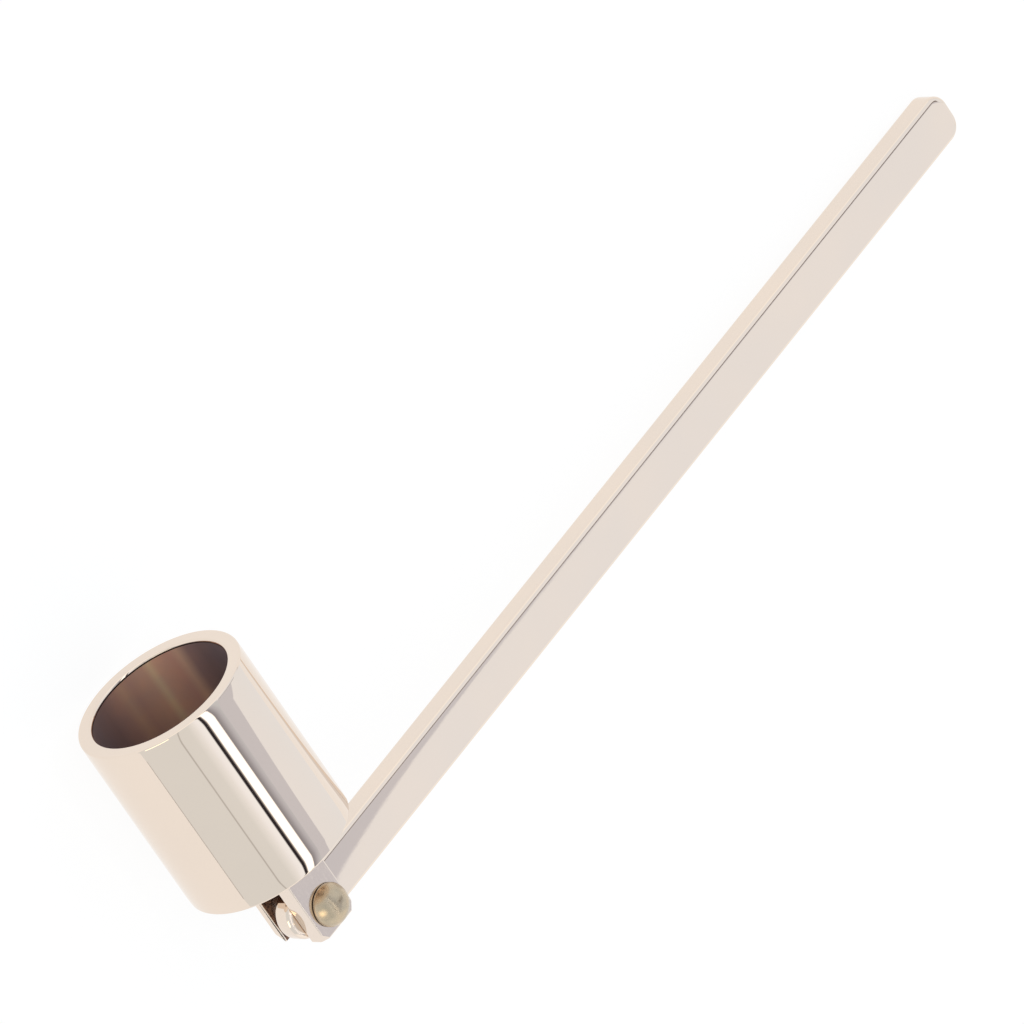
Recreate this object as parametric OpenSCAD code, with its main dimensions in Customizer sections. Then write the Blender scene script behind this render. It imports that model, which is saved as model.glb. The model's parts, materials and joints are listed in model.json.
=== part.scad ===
// Candle snuffer: a thick walled bell with a clevis brazed to its closed end,
// hinged by a domed rivet on the rounded end of a flat bar handle.
// The snuffer lies on its side: +X along the handle, +Y out of the bell's
// mouth, +Z up. The whole tool leans down a little so that the far end of the
// handle touches the table that the bell lies on.

/* [Bell] */
// Outer diameter of the bell
bell_od = 30; // [26:0.5:34]
// Wall thickness of the bell
bell_wall = 2.5; // [1.5:0.1:3.5]
// Length of the bell along its own axis
bell_length = 34.2; // [28:0.1:44]
// Thickness of the bell's closed end
bell_floor = 2.5; // [1.5:0.1:3.5]
// Rounding of the bell's outer edges
bell_edge = 0.5; // [0.2:0.1:1]

/* [Clevis] */
// Width of the clevis along the handle
clevis_width = 8.6; // [8.6:0.1:11]
// Distance of the clevis from the bell's axis, along the handle
clevis_shift = -0.3; // [-0.5:0.1:0.5]
// Thickness of the clevis along the rivet
clevis_depth = 11.2; // [11:0.1:13]
// Distance from the rivet's axis to the bell's closed end
clevis_reach = 11.7; // [10.5:0.1:16]
// Distance from the rivet's axis to the ears' free ends
clevis_tip = 4.1; // [4:0.1:5]
// Thickness of the upper ear
ear_upper = 3.5; // [3:0.1:3.8]
// Thickness of the lower ear
ear_lower = 1.6; // [1.4:0.1:1.8]
// Length of the ears' corner cuts along the bell's axis
ear_chamfer = 1.55; // [1:0.05:2]
// Length of the ears' corner cuts along the handle
ear_cut = 1.3; // [0.5:0.1:1.5]
// Depth of the ears' corner cuts along the rivet
ear_bevel = 1.4; // [0.5:0.1:1.5]
// Diameter of the spigot that is brazed into the bell's floor
spigot_d = 6; // [4:0.5:8]

/* [Handle] */
// Width of the flat bar
bar_width = 8.6; // [7:0.1:8.8]
// Thickness of the flat bar
bar_thick = 4.85; // [4:0.05:5]
// Thickness of the bar's tongue between the ears
tongue_thick = 3.5; // [3:0.1:3.8]
// Distance from the rivet's axis to the tongue's shoulder
tongue_reach = 6; // [5.5:0.1:8]
// Distance from the rivet's axis to the far end of the bar
bar_reach = 191; // [150:0.5:220]
// Distance from the rivet's axis to the centre of the rounded end
tongue_offset = 1.9; // [1.5:0.1:2.3]
// Rounding of the corners at the far end
bar_corner = 3; // [0.5:0.1:3.5]

/* [Rivet] */
// Diameter of the rivet's shank
shank_d = 3.2; // [2.5:0.1:4]
// Diameter of the domed heads
head_d = 7.2; // [5:0.1:7.5]
// Height of the straight side of a head
head_side = 0.5; // [0.3:0.1:0.8]
// Height of the dome above the straight side
head_dome = 2.5; // [1:0.1:2.5]
// Outer diameter of the spacer washer in the clevis slot
washer_d = 7.6; // [6:0.1:8]

/* [Fits] */
// Gap between the rivet's shank and the handle's hole, on the radius
pin_gap = 0.05; // [0.03:0.01:0.1]
// Gap between sliding flat faces in the clevis
side_gap = 0.1; // [0.05:0.01:0.2]

/* [Hidden] */
$fn = 96;

eps = 0.2;
bell_r = bell_od / 2;
bore_r = bell_r - bell_wall;
half_depth = clevis_depth / 2;
slot_top = half_depth - ear_upper;
slot_bottom = ear_lower - half_depth;
bar_top = slot_top - side_gap;
bar_bottom = bar_top - bar_thick;
tongue_bottom = bar_top - tongue_thick;
washer_thick = tongue_bottom - slot_bottom - side_gap;
bar_r = bar_width / 2;
// The slot's ceiling clears the rounded end of the bar as the bell swings over it.
swing_gap = 0.75;
slot_ceiling = tongue_offset + bar_r + swing_gap;
mouth_y = clevis_reach + bell_length;
// A short chamfer guides the candle's wick past the lip.
lip_chamfer = 0.4;
cap_socket = 1.2;

// Lean of the tool as it lies: the bell rests on its side and the far lower
// edge of the bar comes down to the same table.
lean = asin(bell_r / sqrt(pow(bar_reach, 2) + pow(bar_bottom, 2)))
    - atan2(-bar_bottom, bar_reach);
rest_height = bell_r;
// The bell's side is the model's least X, and the tip of the bar its greatest.
least_x = -bell_r;
most_x = bar_reach * cos(lean) + bar_top * sin(lean);
middle_x = (least_x + most_x) / 2;
middle_y = (mouth_y - max(bar_r, clevis_tip)) / 2;

// Moves a part from the rivet's axis to where the tool lies on its table.
module as_it_lies() {
    translate([-middle_x, -middle_y, rest_height]) rotate([0, lean, 0]) children();
}

// Turns a profile drawn as [radius, distance] about the bell's axis.
module turned_on_bell() {
    rotate([-90, 0, 0]) rotate_extrude() children();
}

// A disc of radius r on the rivet's axis from z = low to z = high.
module on_rivet(r, low, high) {
    translate([0, 0, low]) cylinder(r = r, h = high - low);
}

// A quarter round taken off an outer edge of radius r, at y = edge, toward +side.
module edge_round(r, edge, side) {
    translate([r - bell_edge, edge + side * bell_edge])
        difference() {
            translate([0, side > 0 ? -bell_edge - eps : 0])
                square([bell_edge + eps, bell_edge + eps]);
            circle(r = bell_edge);
        }
}

module bell_cup() {
    color("tan") as_it_lies() turned_on_bell() difference() {
        translate([0, clevis_reach]) square([bell_r, bell_length]);
        translate([-eps, clevis_reach + bell_floor])
            square([bore_r + eps, bell_length]);
        translate([-eps, clevis_reach - eps])
            square([spigot_d / 2 + eps, bell_floor + 2 * eps]);
        edge_round(bell_r, clevis_reach, 1);
        edge_round(bell_r, mouth_y, -1);
        polygon([
            [bore_r - eps, mouth_y - lip_chamfer - eps],
            [bore_r - eps, mouth_y + eps],
            [bore_r + lip_chamfer + eps, mouth_y + eps]
        ]);
    }
}

// A corner cut off an ear: a tetrahedron that stands out of the block by eps.
module corner_cut() {
    grown = 1 + eps * (1 / ear_cut + 1 / ear_chamfer + 1 / ear_bevel);
    translate([-clevis_width / 2 - eps, -clevis_tip - eps, -half_depth - eps])
        polyhedron(
            points = [
                [0, 0, 0],
                [ear_cut * grown, 0, 0],
                [0, ear_chamfer * grown, 0],
                [0, 0, ear_bevel * grown]
            ],
            faces = [[0, 1, 2], [0, 3, 1], [0, 2, 3], [1, 3, 2]]
        );
}

module clevis() {
    color("silver") as_it_lies() difference() {
        union() {
            translate([clevis_shift - clevis_width / 2, -clevis_tip, -half_depth])
                cube([clevis_width, clevis_tip + clevis_reach, clevis_depth]);
            translate([0, clevis_reach, 0]) rotate([-90, 0, 0])
                cylinder(r = spigot_d / 2, h = bell_floor);
        }
        translate([-clevis_width, -clevis_tip - 1, slot_bottom])
            cube([2 * clevis_width, clevis_tip + 1 + slot_ceiling, slot_top - slot_bottom]);
        on_rivet(shank_d / 2, -half_depth - 1, half_depth + 1);
        for (side = [0, 1], face = [0, 1])
            translate([clevis_shift, 0, 0]) mirror([side, 0, 0]) mirror([0, 0, face]) corner_cut();
    }
}

// Outline of the bar: a full round at the hinge and soft corners at the far end.
module bar_outline() {
    translate([-tongue_offset, 0]) circle(r = bar_r);
    translate([-tongue_offset, -bar_r]) square([tongue_offset + bar_reach - bar_corner, bar_width]);
    translate([0, bar_corner - bar_r]) square([bar_reach, bar_width - 2 * bar_corner]);
    for (side = [-1, 1])
        translate([bar_reach - bar_corner, side * (bar_r - bar_corner)]) circle(r = bar_corner);
}

module handle_bar() {
    color("burlywood") as_it_lies() difference() {
        translate([0, 0, bar_bottom]) linear_extrude(bar_thick) bar_outline();
        on_rivet(shank_d / 2 + pin_gap, bar_bottom - 1, bar_top + 1);
        translate([-bar_width, -bar_width, bar_bottom - 1])
            cube([bar_width + tongue_reach, 2 * bar_width, tongue_bottom - bar_bottom + 1]);
    }
}

// Half section of a button head that stands on y = 0: a straight side below
// a dome that is part of a sphere.
module head_section() {
    head_r = head_d / 2;
    dome_r = (pow(head_r, 2) + pow(head_dome, 2)) / (2 * head_dome);
    intersection() {
        translate([0, head_side + head_dome - dome_r]) circle(r = dome_r);
        square([head_r, head_side + head_dome]);
    }
}

module rivet_post() {
    color("darkgoldenrod") as_it_lies() rotate_extrude() {
        translate([0, -half_depth - cap_socket])
            square([shank_d / 2, clevis_depth + cap_socket]);
        translate([0, half_depth]) head_section();
    }
}

// The cap is pressed over the end of the shank below the lower ear.
module rivet_cap() {
    color("goldenrod") as_it_lies() rotate_extrude() difference() {
        translate([0, -half_depth]) mirror([0, 1]) head_section();
        translate([-eps, -half_depth - cap_socket])
            square([shank_d / 2 + eps, cap_socket + eps]);
    }
}

module spacer_washer() {
    color("gray") as_it_lies() difference() {
        on_rivet(washer_d / 2, slot_bottom, slot_bottom + washer_thick);
        on_rivet(shank_d / 2 + pin_gap, slot_bottom - 1, slot_bottom + washer_thick + 1);
    }
}

bell_cup();
clevis();
handle_bar();
rivet_post();
rivet_cap();
spacer_washer();
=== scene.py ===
import json
import bmesh
import bpy
import numpy as np
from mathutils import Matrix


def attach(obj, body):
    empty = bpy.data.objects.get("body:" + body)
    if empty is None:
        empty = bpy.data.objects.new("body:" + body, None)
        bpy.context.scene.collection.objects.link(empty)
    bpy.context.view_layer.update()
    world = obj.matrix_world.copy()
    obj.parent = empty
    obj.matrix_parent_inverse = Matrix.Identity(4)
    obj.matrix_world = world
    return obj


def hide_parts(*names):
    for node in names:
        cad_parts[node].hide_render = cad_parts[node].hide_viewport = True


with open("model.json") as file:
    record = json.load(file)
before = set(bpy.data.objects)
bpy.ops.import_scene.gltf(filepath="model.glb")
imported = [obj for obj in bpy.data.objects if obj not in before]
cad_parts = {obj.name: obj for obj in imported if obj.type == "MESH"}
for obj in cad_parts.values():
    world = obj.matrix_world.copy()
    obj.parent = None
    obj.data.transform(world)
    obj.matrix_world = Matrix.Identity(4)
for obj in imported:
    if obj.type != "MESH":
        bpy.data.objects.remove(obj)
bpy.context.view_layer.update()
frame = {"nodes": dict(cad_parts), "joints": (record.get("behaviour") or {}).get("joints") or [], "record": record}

print("loaded the frame:", sorted(frame["nodes"]))

# The hinge gives every piece its place: along the handle, along the bell, along the rivet.
hinge = frame["joints"][0]
pivot = np.array(hinge["pos_m"])
alongRivet = np.array(hinge["axis"]) / np.linalg.norm(hinge["axis"])
alongBell = np.array([0.0, 1.0, 0.0])
alongHandle = np.cross(alongBell, alongRivet)
hingeAxes = np.stack([alongHandle, alongBell, alongRivet])
mm = 0.001


# Lowest and highest corner of a CAD node, measured along the hinge's own three axes.
def extent(node):
    mesh = frame["nodes"][node].data
    points = np.empty(len(mesh.vertices) * 3)
    mesh.vertices.foreach_get("co", points)
    local = (points.reshape(-1, 3) - pivot) @ hingeAxes.T
    return local.min(0), local.max(0)


# The middles of a piece's faces, along the same three axes.
def faceMiddles(piece):
    points = np.empty(len(piece.data.polygons) * 3)
    piece.data.polygons.foreach_get("center", points)
    return (points.reshape(-1, 3) - pivot) @ hingeAxes.T


def addToScene(name, data):
    piece = bpy.data.objects.new(name, data)
    bpy.context.scene.collection.objects.link(piece)
    return piece


# A smooth piece from points along the hinge's axes. Points closer than weld become one.
def solidPiece(name, points, faces, weld=0.0):
    mesh = bpy.data.meshes.new(name)
    mesh.from_pydata((pivot + points @ hingeAxes).tolist(), [], faces)
    work = bmesh.new()
    work.from_mesh(mesh)
    if weld:
        bmesh.ops.remove_doubles(work, verts=work.verts, dist=weld)
    bmesh.ops.recalc_face_normals(work, faces=work.faces)
    work.to_mesh(mesh)
    work.free()
    mesh.polygons.foreach_set("use_smooth", np.ones(len(mesh.polygons), bool))
    return addToScene(name, mesh)


# Angle steps of a quarter turn, used wherever an edge is rounded.
def quarter(steps):
    return np.linspace(0.0, np.pi / 2, steps + 1)


# A closed or open polyline whose corners are rounded. Each corner point is replaced by a circular
# arc that touches both of its sides, cut back along each side by radius / tan(half the corner's
# angle), and each side gets a point at a distance hold from either arc so that it shades flat.
def softened(corners, radii, steps=6, closed=True, hold=0.0002):
    corners = np.asarray(corners, float)
    count = len(corners)
    parts = []
    for i in range(count):
        here, before, after = corners[i], corners[i - 1], corners[(i + 1) % count]
        if radii[i] <= 0 or (not closed and i in (0, count - 1)):
            parts.append(here[None])
            continue
        a, b = before - here, after - here
        a, b = a / np.linalg.norm(a), b / np.linalg.norm(b)
        half = np.arccos(np.clip(a @ b, -1, 1)) / 2
        middle = (a + b) / np.linalg.norm(a + b)
        centre = here + middle * radii[i] / np.sin(half)
        first = here + a * radii[i] / np.tan(half) - centre
        last = here + b * radii[i] / np.tan(half) - centre
        turn = np.linspace(0, 1, steps + 1)[:, None]
        sweep = np.pi - 2 * half
        arc = (first * np.sin((1 - turn) * sweep) + last * np.sin(turn * sweep)) / np.sin(sweep)
        parts += [(centre + first + a * hold)[None], centre + arc, (centre + last + b * hold)[None]]
    return np.concatenate(parts)


# Four-sided faces between closed loops of points that are numbered row by row.
def bandFaces(count, around, joinEnds=False):
    last = count if joinEnds else count - 1
    i, j = np.meshgrid(np.arange(last), np.arange(around), indexing="ij")
    nextRow, nextPoint = (i + 1) % count, (j + 1) % around
    corners = [i * around + j, i * around + nextPoint, nextRow * around + nextPoint, nextRow * around + j]
    return np.stack(corners, -1).reshape(-1, 4).tolist()


# Faces over rows of points: rows[i, j] joins rows[i + 1, j] and rows[i, j + 1]. Each row is a
# closed loop. The last row joins the first, or both end in a point or in a flat face.
def skin(name, rows, joinEnds=False, startPoint=None, endPoint=None):
    count, around = rows.shape[:2]
    points = rows.reshape(-1, 3)
    faces = bandFaces(count, around, joinEnds)
    for point, row in () if joinEnds else ((startPoint, 0), (endPoint, count - 1)):
        ring = row * around + np.arange(around)
        if point is None:
            faces.append(ring.tolist())
        else:
            faces += np.stack([ring, np.roll(ring, -1), np.full(around, len(points))], -1).tolist()
            points = np.vstack([points, point])
    return solidPiece(name, points, faces)


# A profile of (radius, distance) turned about the bell's axis or the rivet's:
# point = distance along the axis + radius * (cos turn, sin turn) across it.
def turned(profile, steps, about):
    turn = np.linspace(0, 2 * np.pi, steps, endpoint=False)
    radius, distance = profile[:, 0, None], profile[:, 1, None] + 0 * turn
    across, beside = radius * np.cos(turn), radius * np.sin(turn)
    order = (across, distance, beside) if about == "bell" else (across, beside, distance)
    return np.stack(order, -1)


def newMaterial(name):
    material = bpy.data.materials.new(name)
    material.use_nodes = True
    tree = material.node_tree
    return material, tree, tree.nodes["Principled BSDF"]


# Object coordinates in the hinge's axes, (handle, bell, rivet), each made longer by a factor.
def marksAlong(tree, longer=(1, 1, 1)):
    place = tree.nodes.new("ShaderNodeTexCoord")
    mapping = tree.nodes.new("ShaderNodeMapping")
    mapping.vector_type = "TEXTURE"
    mapping.inputs["Location"].default_value = pivot.tolist()
    mapping.inputs["Rotation"].default_value = (0, np.arctan2(alongRivet[0], alongRivet[2]), 0)
    mapping.inputs["Scale"].default_value = longer
    tree.links.new(place.outputs["Object"], mapping.inputs["Vector"])
    return mapping.outputs["Vector"]


def oneOf(tree, vector, axis):
    node = tree.nodes.new("ShaderNodeSeparateXYZ")
    tree.links.new(vector, node.inputs["Vector"])
    return node.outputs[axis]


def calculate(tree, operation, first, second=None):
    node = tree.nodes.new("ShaderNodeMath")
    node.operation = operation
    tree.links.new(first, node.inputs[0])
    if isinstance(second, (int, float)):
        node.inputs[1].default_value = second
    elif second is not None:
        tree.links.new(second, node.inputs[1])
    return node.outputs["Value"]


# Colours set at given places between low and high.
def colourStops(tree, value, low, high, stops):
    ramp = tree.nodes.new("ShaderNodeValToRGB")
    while len(ramp.color_ramp.elements) < len(stops):
        ramp.color_ramp.elements.new(0.5)
    for element, (place, colour) in zip(ramp.color_ramp.elements, stops):
        element.position = (place - low) / (high - low)
        element.color = (*colour, 1)
    tree.links.new(spread(tree, value, low, high, 0, 1), ramp.inputs["Fac"])
    return ramp.outputs["Color"]


def noise(tree, vector, scale, detail, rough=0.55):
    node = tree.nodes.new("ShaderNodeTexNoise")
    node.inputs["Scale"].default_value = scale
    node.inputs["Detail"].default_value = detail
    node.inputs["Roughness"].default_value = rough
    tree.links.new(vector, node.inputs["Vector"])
    return node.outputs["Fac"]


def spread(tree, value, low, high, toLow, toHigh):
    node = tree.nodes.new("ShaderNodeMapRange")
    for socket, number in zip(("From Min", "From Max", "To Min", "To Max"), (low, high, toLow, toHigh)):
        node.inputs[socket].default_value = number
    tree.links.new(value, node.inputs["Value"])
    return node.outputs["Result"]


def blendColours(tree, value, first, second):
    node = tree.nodes.new("ShaderNodeMix")
    node.data_type = "RGBA"
    for socket, colour in (("A", first), ("B", second)):
        if isinstance(colour, tuple):
            node.inputs[socket].default_value = (*colour, 1)
        else:
            tree.links.new(colour, node.inputs[socket])
    tree.links.new(value, node.inputs["Factor"])
    return node.outputs["Result"]


def bump(tree, height, distance, normal=None):
    node = tree.nodes.new("ShaderNodeBump")
    node.inputs["Strength"].default_value = 1.0
    node.inputs["Distance"].default_value = distance
    tree.links.new(height, node.inputs["Height"])
    if normal is not None:
        tree.links.new(normal, node.inputs["Normal"])
    return node.outputs["Normal"]


# The parts of a noise that count, from no effect to the full effect.
noiseBands = {"patches": (0.35, 0.65), "hairs": (0.45, 0.75)}


# Polished plating: two near tints in slow patches, hairline scratches along the piece that
# show in roughness and bump, and a very slight waviness from the polishing wheel.
def plating(name, look):
    material, tree, shader = newMaterial(name)
    shader.inputs["Metallic"].default_value = look.get("metal", 1.0)
    along = marksAlong(tree, look["longer"])
    patches = noise(tree, marksAlong(tree), look["patchScale"], detail=2.0)
    share = spread(tree, patches, *noiseBands["patches"], 0, 1)
    tint = blendColours(tree, share, look["tint"], look["tintToo"])
    tree.links.new(tint, shader.inputs["Base Color"])
    hairs = noise(tree, along, look["hairScale"], detail=4.0, rough=0.7)
    roughest = look["roughness"] + look["hairRoughness"]
    rough = spread(tree, hairs, *noiseBands["hairs"], look["roughness"], roughest)
    tree.links.new(rough, shader.inputs["Roughness"])
    waves = bump(tree, noise(tree, along, look["waveScale"], detail=2.0), look["waveHeight"])
    normal = bump(tree, hairs, look["hairHeight"], waves)
    tree.links.new(normal, shader.inputs["Normal"])
    return material, tree, shader, tint


bellLook = {
    "tint": (0.823, 0.705, 0.602), "tintToo": (0.838, 0.716, 0.610), "patchScale": 60,
    "longer": (1, 16, 1), "hairScale": 3000, "hairHeight": 1.5e-7, "hairRoughness": 0.02,
    "roughness": 0.03, "waveScale": 260, "waveHeight": 1.0e-6,
}
clevisLook = dict(bellLook, tint=(0.81, 0.70, 0.61), hairHeight=9e-7, longer=(1, 5, 1),
                  hairScale=4200, hairRoughness=0.16)
handleLook = dict(bellLook, longer=(20, 1, 1), tint=(0.815, 0.705, 0.610), roughness=0.02,
                  hairHeight=8e-7)
boreLook = {
    "tint": (1.0, 0.96, 0.92), "tintToo": (0.92, 0.92, 0.94), "patchScale": 220,
    "longer": (1, 33, 1), "hairScale": 900, "hairHeight": 2e-6, "hairRoughness": 0.1,
    "roughness": 0.42, "waveScale": 160, "waveHeight": 2.0e-6, "metal": 0.35,
    "middle": -56.4, "lipShadeDepth": 0.65 * mm, "lipSoft": 0.05 * mm, "lipShadeColour": (0.02, 0.014, 0.012),
    # Painted light and shade by angle from the middle: dark sides, a bright middle, streaks between.
    "shadeAndStreaks": [
        (-65, (0.22, 0.165, 0.17)), (-45, (0.31, 0.195, 0.175)), (-30, (0.54, 0.31, 0.24)),
        (-23, (0.66, 0.40, 0.28)), (-15, (0.64, 0.37, 0.28)), (-1, (0.84, 0.49, 0.34)),
        (4, (1.0, 0.70, 0.44)), (9, (0.88, 0.51, 0.36)), (22, (0.80, 0.43, 0.32)),
        (28, (0.86, 0.53, 0.37)), (36, (0.42, 0.26, 0.23)), (48, (0.28, 0.19, 0.185)),
        (65, (0.21, 0.165, 0.18)),
    ],
}
brassLook = {
    "tint": (0.60, 0.475, 0.33), "tintToo": (0.50, 0.42, 0.31), "patchScale": 420,
    "longer": (1, 1, 2), "hairScale": 2600, "hairHeight": 1.2e-6, "hairRoughness": 0.14,
    "roughness": 0.25, "waveScale": 500, "waveHeight": 3.0e-6,
    # Painted shade at the heads' foot, full near the ear and fading out a little higher.
    "foot": 0.24 * mm, "footShadeFull": 0.144 * mm, "footShade": (0.06, 0.045, 0.035),
}
steelLook = dict(brassLook, tint=(0.56, 0.55, 0.54), tintToo=(0.48, 0.47, 0.46))
# The slot's faces are dark brown in slow patches.
slotLook = dict(bellLook, tint=(0.30, 0.15, 0.09), tintToo=(0.10, 0.05, 0.035), patchScale=1400,
                metal=0.6, roughness=0.4, hairHeight=6e-6)

platedBell = plating("platedBell", bellLook)[0]
platedClevis = plating("platedClevis", clevisLook)[0]
platedHandle = plating("platedHandle", handleLook)[0]
turnedSteel = plating("turnedSteel", steelLook)[0]
darkSlot = plating("darkSlot", slotLook)[0]

# The bore is bare, and its brown is painted light and shade by angle round the bell's axis from the middle one:
# painted shade darkens the sides and a painted highlight brightens the middle, with streaks between. A painted
# dark line of shade runs just inside the lip.
bareBore, tree, shader, tint = plating("bareBore", boreLook)
place = marksAlong(tree)
angle = calculate(tree, "ARCTAN2", oneOf(tree, place, "Z"), oneOf(tree, place, "X"))
shadeAndStreaks = [(boreLook["middle"] + degrees, colour) for degrees, colour in boreLook["shadeAndStreaks"]]
shadeAndStreaks = colourStops(tree, calculate(tree, "MULTIPLY", angle, 180 / np.pi), -180, 180, shadeAndStreaks)
# The painted light and shade multiply the bore's tint.
shadedTint = tree.nodes.new("ShaderNodeMix")
shadedTint.data_type = "RGBA"
shadedTint.blend_type = "MULTIPLY"
shadedTint.inputs["Factor"].default_value = 1.0
tree.links.new(tint, shadedTint.inputs["A"])
tree.links.new(shadeAndStreaks, shadedTint.inputs["B"])
# Painted shade: a near-black line just inside the lip, over the bore's colour.
lip = extent("bell_cup")[1][1] - boreLook["lipShadeDepth"]
dark = spread(tree, oneOf(tree, place, "Y"), lip, lip + boreLook["lipSoft"], 0, 1)
tint = blendColours(tree, dark, shadedTint.outputs["Result"], boreLook["lipShadeColour"])
tree.links.new(tint, shader.inputs["Base Color"])

# The brass heads get painted shade: a dark line where they meet the ears.
agedBrassShadedFoot, tree, shader, tint = plating("agedBrassShadedFoot", brassLook)
ear = extent("clevis")[1][2]
away = calculate(tree, "ABSOLUTE", oneOf(tree, marksAlong(tree), "Z"))
unshaded = spread(tree, away, ear + brassLook["footShadeFull"], ear + brassLook["foot"], 0, 1)
tree.links.new(blendColours(tree, unshaded, brassLook["footShade"], tint), shader.inputs["Base Color"])
print("made the materials")


def finishPiece(piece, body, slot, material, *nodes):
    piece.data.materials.append(material)
    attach(piece, body)
    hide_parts(*nodes)
    print("made", piece.name, len(piece.data.polygons), "faces")


# Gives a second material to the faces that a test picks out.
def paintFaces(piece, picked, material):
    piece.data.materials.append(material)
    piece.data.polygons.foreach_set("material_index", picked.astype(np.int32))


# Bell: its side falls away a little toward both ends, as polishing leaves it. At a distance d < run
# from a start just inside each end's rounded edge, radius = R - drop * (1 - d / run) ** 2.
bellShape = {
    "edge": 0.35 * mm, "lip": 0.45 * mm, "floorFillet": 0.8 * mm, "steps": 288, "endSteps": 8,
    "floorThick": 2.5 * mm, "spigot": 3 * mm, "start": 0.4 * mm, "run": 2.2 * mm,
    "drop": 0.055 * mm, "pinch": 0.02 * mm, "bareFrom": 1 * mm, "platedLip": 0.432 * mm,
}
mouth = frame["record"]["mounts"][0]["dims"]
low, high = extent("bell_cup")
bellRadius = high[0]
boreRadius = mouth["r_mm"] * mm
bellEnd, bellMouth = low[1], high[1]
spigotRadius, floorTop = bellShape["spigot"], bellEnd + bellShape["floorThick"]
drop = bellShape["drop"]
away = np.arange(bellShape["endSteps"]) / bellShape["endSteps"]
alongSide = bellEnd + bellShape["start"] + away * bellShape["run"]
lowEnd = np.column_stack([bellRadius - drop * (1 - away) ** 2, alongSide])
highEnd = np.column_stack([lowEnd[::-1, 0], bellMouth + bellEnd - lowEnd[::-1, 1]])
edgeRadius = bellRadius - drop - bellShape["pinch"]
corners = [
    (spigotRadius, bellEnd), (edgeRadius, bellEnd), *lowEnd, *highEnd, (edgeRadius, bellMouth),
    (boreRadius, bellMouth), (boreRadius, floorTop), (spigotRadius, floorTop),
]
radii = [0, bellShape["edge"]] + [0] * (2 * len(away)) + [bellShape["edge"]]
radii += [bellShape["lip"], bellShape["floorFillet"], 0]
profile = softened(corners, radii, steps=8, hold=0.02 * mm)
bell = skin("bell_cup_polished", turned(profile, bellShape["steps"], "bell"), joinEnds=True)
finishPiece(bell, "bell", "plated_bell", platedBell, "bell_cup")
near = 0.02 * mm
across, along, beside = faceMiddles(bell).T
inside = (np.hypot(across, beside) < boreRadius + near) & (along > bellEnd + bellShape["bareFrom"])
inside &= along < bellMouth - bellShape["platedLip"]
paintFaces(bell, inside, bareBore)

# Clevis: the ears' corners are rounded by the edge or a share of it, the slot's by its own radius.
clevisShape = {
    "edge": 0.26 * mm, "slotCorner": 0.3 * mm, "cutAlong": 1.3 * mm, "cutUp": 1.55 * mm,
    "cutDeep": 1.4 * mm, "leastCut": 0.16 * mm, "lowerEar": 1.6 * mm, "slotCeiling": 6.95 * mm,
    "slotGap": 0.1 * mm, "atBell": 0.04 * mm, "rim": 0.03 * mm,
    "cutSteps": (0.1, 0.14, 0.3, 0.6, 0.96),
}
low, high = extent("clevis")
halfWide, middle = (high[0] - low[0]) / 2, (high[0] + low[0]) / 2
halfDeep, tip = high[2], low[1]
barLeast, barMost = extent("handle_bar")
slotTop = barMost[2] + clevisShape["slotGap"]
slotBottom = clevisShape["lowerEar"] - halfDeep


# Outline of the clevis across the handle at a distance x from its middle: two ears and the web over
# the slot. Near the sides the ears' outer corners are cut by a plane through three edges, so
# the cut in this outline grows in step with (x - start of the cut) / length of the cut.
def clevisLoop(x, inset):
    share = np.clip(1 - (halfWide - abs(x)) / clevisShape["cutAlong"], 0, 1)
    up = max(clevisShape["leastCut"], clevisShape["cutUp"] * share)
    deep = max(clevisShape["leastCut"], clevisShape["cutDeep"] * share)
    ceiling, outer, end = clevisShape["slotCeiling"] + inset, halfDeep - inset, tip + inset
    corners = [
        (bellEnd, -outer), (bellEnd, outer), (end + up, outer), (end, outer - deep),
        (end, slotTop + inset), (ceiling, slotTop + inset), (ceiling, slotBottom - inset),
        (end, slotBottom - inset), (end, deep - outer), (end + up, -outer),
    ]
    edge, slotCorner, atBell = clevisShape["edge"], clevisShape["slotCorner"], clevisShape["atBell"]
    radii = [atBell, atBell, edge, edge * 0.8, edge * 0.6, slotCorner, slotCorner]
    radii += [edge * 0.6, edge * 0.3, edge]
    loop = softened(corners, radii, hold=0.01 * mm)
    return np.column_stack([np.full(len(loop), middle + x), loop])


edge = clevisShape["edge"]
turn = quarter(5)
ends = halfWide - edge + edge * np.sin(turn)
insets = edge - edge * np.cos(turn)
kink = halfWide - clevisShape["cutAlong"]
stations = [(x, 0.0) for x in np.linspace(0, kink, 6)[1:]]
stations += [(kink + part * (ends[0] - kink), 0.0) for part in clevisShape["cutSteps"]]
stations += list(zip(ends, insets)) + [(halfWide, edge + clevisShape["rim"])]
rows = [clevisLoop(-x, inset) for x, inset in reversed(stations)] + [clevisLoop(0.0, 0.0)]
rows += [clevisLoop(x, inset) for x, inset in stations]
clevis = skin("clevis_polished", np.stack(rows))
finishPiece(clevis, "bell", "plated_clevis", platedClevis, "clevis")
across, along, beside = faceMiddles(clevis).T
inside = (beside > slotBottom - near) & (beside < slotTop + near)
inside &= (along < clevisShape["slotCeiling"] + near) & (abs(across - middle) < halfWide - edge)
paintFaces(clevis, inside, darkSlot)

handleShape = {
    "edge": 0.85 * mm, "corner": 3.0 * mm, "crown": 0.05 * mm, "hold": 0.1 * mm,
    "tongueThick": 3.5 * mm, "tongueReach": 6 * mm,
    "roundPoints": 33, "sidePoints": 62, "cornerPoints": 13, "across": 15,
}
barEnd, barHalf, barHigh = barMost
barLow = barLeast[2]
roundAt = barLeast[0] + barHalf


# Height of the bar's underside at a distance x: the tongue is thinner up to its shoulder.
def underside(x):
    shoulder = handleShape["tongueReach"] + np.array([0, handleShape["hold"]])
    return np.interp(x, shoulder, [barHigh - handleShape["tongueThick"], barLow])


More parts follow.
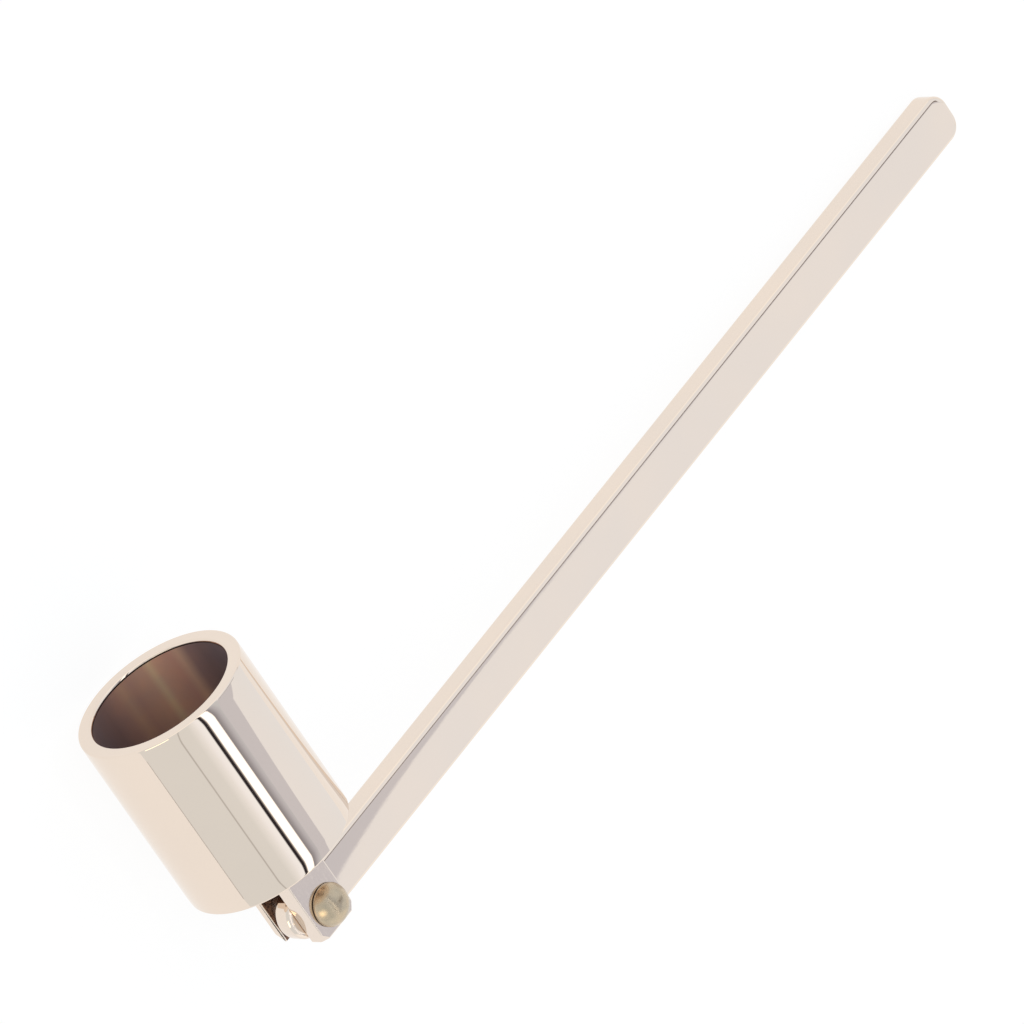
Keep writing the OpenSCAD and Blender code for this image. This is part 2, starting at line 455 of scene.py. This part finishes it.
# Half of the bar's outline drawn in by a distance: round end by angle, side by even steps with
# more at the shoulder, soft corner by angle. The other half is its mirror image.
def barLoop(inset):
    swing = np.linspace(np.pi, np.pi / 2, handleShape["roundPoints"])
    corner = handleShape["corner"]
    shoulder = handleShape["tongueReach"] + handleShape["hold"] * np.array([-1, 0, 1, 2])
    even = np.linspace(roundAt, barEnd - corner, handleShape["sidePoints"])[1:]
    straight = np.sort(np.append(even, shoulder))
    turn = np.linspace(np.pi / 2, 0, handleShape["cornerPoints"])[1:]
    x = np.concatenate([
        roundAt + (barHalf - inset) * np.cos(swing), straight,
        barEnd - corner + (corner - inset) * np.cos(turn),
    ])
    y = np.concatenate([
        (barHalf - inset) * np.sin(swing), np.full(len(straight), barHalf - inset),
        barHalf - corner + (corner - inset) * np.sin(turn),
    ])
    return x, y


# Loops of points from the top face's rim over the rounded edges and the side to the lower rim.
def barSides():
    edge, crown = handleShape["edge"], handleShape["crown"]
    flat = edge + crown + handleShape["hold"]
    top = [(edge - edge * np.sin(t), edge * np.cos(t) - edge - crown, 0) for t in quarter(6)]
    side = [(0.0, -flat, 0), (0.0, 0.0, 0.5), (0.0, flat, 1)]
    under = [(inset, -height, 1) for inset, height, _ in reversed(top)]
    loops = []
    for inset, height, share in top + side + under:
        x, y = barLoop(inset)
        z = (1 - share) * barHigh + share * underside(x) + height
        loops.append(np.stack([np.append(x, x[::-1]), np.append(y, -y[::-1]), np.append(z, z[::-1])], -1))
    return np.stack(loops)


# The bar: its sides, then the two wide faces as ladders across the outline with a low crown,
# height = face - crown * (y / half width) ** 2 on top and the same downward below.
def makeBar():
    loops = barSides()
    count, around = loops.shape[:2]
    half = around // 2
    points = [loops.reshape(-1, 3)]
    faces = bandFaces(count, around)
    share = np.cos(np.linspace(0, np.pi, handleShape["across"]))[1:-1]
    start = count * around
    for row, sign in ((0, -1), (count - 1, 1)):
        x, y = loops[row, :half, 0], loops[row, :half, 1][:, None] * share
        level = np.full(half, barHigh) if row == 0 else underside(x)
        crown = handleShape["crown"] * (y / (barHalf - handleShape["edge"])) ** 2
        grid = np.stack([np.broadcast_to(x[:, None], y.shape), y, level[:, None] + sign * crown], -1)
        points.append(grid.reshape(-1, 3))
        inner = start + np.arange(y.size).reshape(y.shape)
        first = row * around + np.arange(half)
        second = (row + 1) * around - 1 - np.arange(half)
        table = np.column_stack([first, inner, second])
        ladder = np.stack([table[:-1, :-1], table[:-1, 1:], table[1:, 1:], table[1:, :-1]], -1)
        faces += ladder.reshape(-1, 4).tolist()
        start += y.size
    return solidPiece("handle_bar_polished", np.vstack(points), faces, weld=1e-7)


handle = makeBar()
finishPiece(handle, "handle", "plated_handle", platedHandle, "handle_bar")

# Rivet heads: part of a sphere above a straight side, sphere's radius = (head's radius ** 2 +
# dome's height ** 2) / (2 * dome's height).
rivetShape = {
    "shank": 1.6 * mm, "sideHigh": 0.5 * mm, "edge": 0.12 * mm, "steps": 96,
    "neck": 0.05 * mm, "shankEdge": 0.1 * mm, "socketDeep": 1.15 * mm, "domeSteps": 24,
}
low, high = extent("rivet_post")
headRadius = high[0]
headBase, headTop = halfDeep, high[2]
domeHigh = headTop - headBase - rivetShape["sideHigh"]
domeRadius = (headRadius**2 + domeHigh**2) / (2 * domeHigh)
reach = np.arcsin(headRadius / domeRadius)
lift = np.linspace(1 / (rivetShape["domeSteps"] + 1), 1, rivetShape["domeSteps"]) * reach
dome = np.column_stack([domeRadius * np.sin(lift), headTop - domeRadius + domeRadius * np.cos(lift)])
foot = [dome[-1], (headRadius, headBase), (rivetShape["shank"], headBase)]
side = softened(foot, [0, rivetShape["edge"], 0], closed=False)
shank = [
    (rivetShape["shank"], headBase - rivetShape["neck"]),
    (rivetShape["shank"], low[2] + rivetShape["shankEdge"]),
    (rivetShape["shank"] - rivetShape["shankEdge"], low[2]),
]
profile = np.vstack([dome, side[1:], shank])
rivet = skin("rivet_post_domed", turned(profile, rivetShape["steps"], "rivet"),
             startPoint=(0, 0, headTop), endPoint=(0, 0, low[2]))
finishPiece(rivet, "bell", "rivet_brass", agedBrassShadedFoot, "rivet_post")

# The cap is the same head turned over, with a socket for the end of the shank.
socketTop = -headBase - rivetShape["socketDeep"]
mirrored = np.vstack([dome, side[1:-1]]) * (1, -1)
profile = np.vstack([mirrored, [(rivetShape["shank"], -headBase), (rivetShape["shank"], socketTop)]])
cap = skin("rivet_cap_domed", turned(profile, rivetShape["steps"], "rivet"),
           startPoint=(0, 0, -headTop), endPoint=(0, 0, socketTop))
finishPiece(cap, "bell", "rivet_brass", agedBrassShadedFoot, "rivet_cap")

washerShape = {"hole": 1.65 * mm, "edge": 0.1 * mm, "steps": 96}
low, high = extent("spacer_washer")
hole = washerShape["hole"]
corners = [(hole, low[2]), (high[0], low[2]), (high[0], high[2]), (hole, high[2])]
profile = softened(corners, [washerShape["edge"]] * 4)
washer = skin("spacer_washer_turned", turned(profile, washerShape["steps"], "rivet"), joinEnds=True)
finishPiece(washer, "bell", "washer_steel", turnedSteel, "spacer_washer")

# A plain floor just below the tool. It glows, so it looks white and its shadows stay faint.
floorLook = {"size": 6.0, "below": 0.05 * mm, "glow": 0.90, "paint": 0.12}
mesh = bpy.data.meshes.new("floor")
half, level = floorLook["size"] / 2, -floorLook["below"]
corners = [(-half, -half, level), (half, -half, level), (half, half, level), (-half, half, level)]
mesh.from_pydata(corners, [], [(0, 1, 2, 3)])
floor = addToScene("floor", mesh)
material, tree, shader = newMaterial("paleFloor")
shader.inputs["Base Color"].default_value = (floorLook["paint"],) * 3 + (1,)
shader.inputs["Roughness"].default_value = 1.0
shader.inputs["Specular IOR Level"].default_value = 0.0
shader.inputs["Emission Color"].default_value = (1, 1, 1, 1)
shader.inputs["Emission Strength"].default_value = floorLook["glow"]
floor.data.materials.append(material)

# Studio light by angle around the bell's axis, in degrees from the handle toward the rivet's head:
# a white tent with a strip light, a black flag beside it and greyer walls.
studio = [
    (-180, (0.83, 0.87, 0.89)), (-176.9, (0.83, 0.87, 0.89)), (-176.5, (0.35, 0.33, 0.32)),
    (-173, (0.35, 0.33, 0.32)), (-172.5, (1, 1, 1)), (-8, (1, 1, 1)), (-7.6, (0.7, 0.7, 0.72)),
    (-5, (0.7, 0.7, 0.72)), (-4, (0.93, 0.99, 1.06)), (60.0, (0.96, 1.0, 1.06)),
    (60.4, (0.67, 0.72, 0.79)), (68, (0.67, 0.72, 0.79)), (74, (0.55, 0.57, 0.65)),
    (80, (0.34, 0.345, 0.39)), (81.7, (0.3, 0.3, 0.34)), (82.3, (1.7, 1.7, 1.7)),
    (93.6, (1.7, 1.7, 1.7)), (94.4, (0.03, 0.025, 0.03)), (98.6, (0.03, 0.025, 0.03)),
    (99.6, (1.08, 1.15, 1.22)), (104.7, (1.05, 1.1, 1.18)), (110, (0.96, 1.0, 1.04)),
    (118, (0.84, 0.88, 0.90)), (133.2, (0.83, 0.87, 0.89)), (133.5, (0.5, 0.5, 0.5)),
    (134.7, (0.5, 0.5, 0.5)), (135, (0.83, 0.87, 0.89)), (180, (0.83, 0.87, 0.89)),
]
world = bpy.data.worlds.new("studio")
bpy.context.scene.world = world
world.use_nodes = True
tree = world.node_tree
background = tree.nodes["Background"]
direction = tree.nodes.new("ShaderNodeTexCoord").outputs["Generated"]


def partAlong(axis):
    node = tree.nodes.new("ShaderNodeVectorMath")
    node.operation = "DOT_PRODUCT"
    node.inputs[1].default_value = axis.tolist()
    tree.links.new(direction, node.inputs[0])
    return node.outputs["Value"]


# The panels taper where a ray tilts away from their own level along the bell, so their corners
# look round, and past their ends the tent is plain.
panels = {
    "middle": 116.4, "level": -0.457, "bend": (0.01, 0.11), "taper": 0.22, "ends": (0.72, 0.82),
    "plain": (1.12, 1.12, 1.1),
}
angle = calculate(tree, "ARCTAN2", partAlong(alongRivet), partAlong(alongHandle))
tilt = partAlong(alongBell)
off = calculate(tree, "ABSOLUTE", calculate(tree, "SUBTRACT", tilt, panels["level"]))
taper = calculate(tree, "POWER", spread(tree, off, *panels["bend"], 0, 1), 2.0)
wider = calculate(tree, "ADD", calculate(tree, "MULTIPLY", taper, panels["taper"]), 1.0)
degrees = calculate(tree, "MULTIPLY", angle, 180 / np.pi)
fromMiddle = calculate(tree, "MULTIPLY", calculate(tree, "SUBTRACT", degrees, panels["middle"]), wider)
degrees = calculate(tree, "ADD", fromMiddle, panels["middle"])
light = colourStops(tree, degrees, -180, 180, studio)
ends = spread(tree, calculate(tree, "ABSOLUTE", tilt), *panels["ends"], 0, 1)
tree.links.new(blendColours(tree, ends, light, panels["plain"]), background.inputs["Color"])


# A flat card that only reflections see, square to a ray from the hinge. Its corners are in its own
# plane, in mm to the right of the ray and up toward the bell's mouth.
def hangCard(name, ray, away, corners, colour):
    ray = np.array(ray) / np.linalg.norm(ray)
    up = np.array([0, 1, 0]) - ray * ray[1]
    up /= np.linalg.norm(up)
    points = ray * away + np.array(corners) * mm @ np.stack([np.cross(up, ray), up])
    mesh = bpy.data.meshes.new(name)
    mesh.from_pydata((pivot + points @ hingeAxes).tolist(), [], [list(range(len(corners)))])
    card = addToScene(name, mesh)
    card.visible_camera = card.visible_diffuse = card.visible_shadow = False
    material, _, shader = newMaterial(name)
    shader.inputs["Base Color"].default_value = (0, 0, 0, 1)
    shader.inputs["Specular IOR Level"].default_value = 0.0
    shader.inputs["Emission Color"].default_value = (*colour, 1)
    shader.inputs["Emission Strength"].default_value = 1.0
    mesh.materials.append(material)


# A grey card beside the strip light, seen by the ear and by the handle near the hinge, a dark strip
# above it for the handle's rounded edge, and a soft box for the rivet's head. The card's lower edge
# bends away to the right, height = slope * right + rise * (1 - exp((start - right) / bend)).
cards = {
    "ray": (0.47212, -0.46411, 0.74947), "away": 0.5, "foot": [(-115, -60), (4.5, -60)],
    "start": 6, "end": 260, "slope": 0.3, "rise": 27, "bend": 14,
    "left": -95, "seam": (120, 135), "top": 215, "points": 25,
    "grey": (0.69, 0.715, 0.80), "dark": (0.22, 0.19, 0.18),
}
sideBox = {
    "ray": (-0.93, -0.12, 0.36), "away": 2.0, "half": 560, "low": -330, "high": 480,
    "colour": (2.3, 2.05, 1.6),
}
share = np.linspace(0, 1, cards["points"]) ** 2
right = cards["start"] + (cards["end"] - cards["start"]) * share
height = cards["slope"] * right + cards["rise"] * (1 - np.exp((cards["start"] - right) / cards["bend"]))
lowSeam, highSeam = cards["seam"]
seam = [(cards["left"], lowSeam), (cards["end"], highSeam)]
edgeOfCard = cards["foot"] + list(zip(right, height)) + seam[::-1]
hangCard("greyCard", cards["ray"], cards["away"], edgeOfCard, cards["grey"])
strip = seam + [(cards["end"], cards["top"]), (cards["left"], cards["top"])]
hangCard("darkStrip", cards["ray"], cards["away"], strip, cards["dark"])
wide, low, high = sideBox["half"], sideBox["low"], sideBox["high"]
box = [(-wide, low), (wide, low), (wide, high), (-wide, high)]
hangCard("sideBox", sideBox["ray"], sideBox["away"], box, sideBox["colour"])

cameraPlace = {
    "location": (-1.167599, 1.162705, 2.000921), "turn": (-2.9967, -39.4217, -40.6074),
    "lens": 562.5, "clip": (0.05, 50),
}
camera = addToScene("camera", bpy.data.cameras.new("camera"))
camera.location = cameraPlace["location"]
camera.rotation_euler = np.radians(cameraPlace["turn"]).tolist()
camera.data.lens = cameraPlace["lens"]
camera.data.clip_start, camera.data.clip_end = cameraPlace["clip"]
bpy.context.scene.camera = camera
bpy.context.scene.view_settings.view_transform = "Standard"
print("set the floor, the studio and the camera")
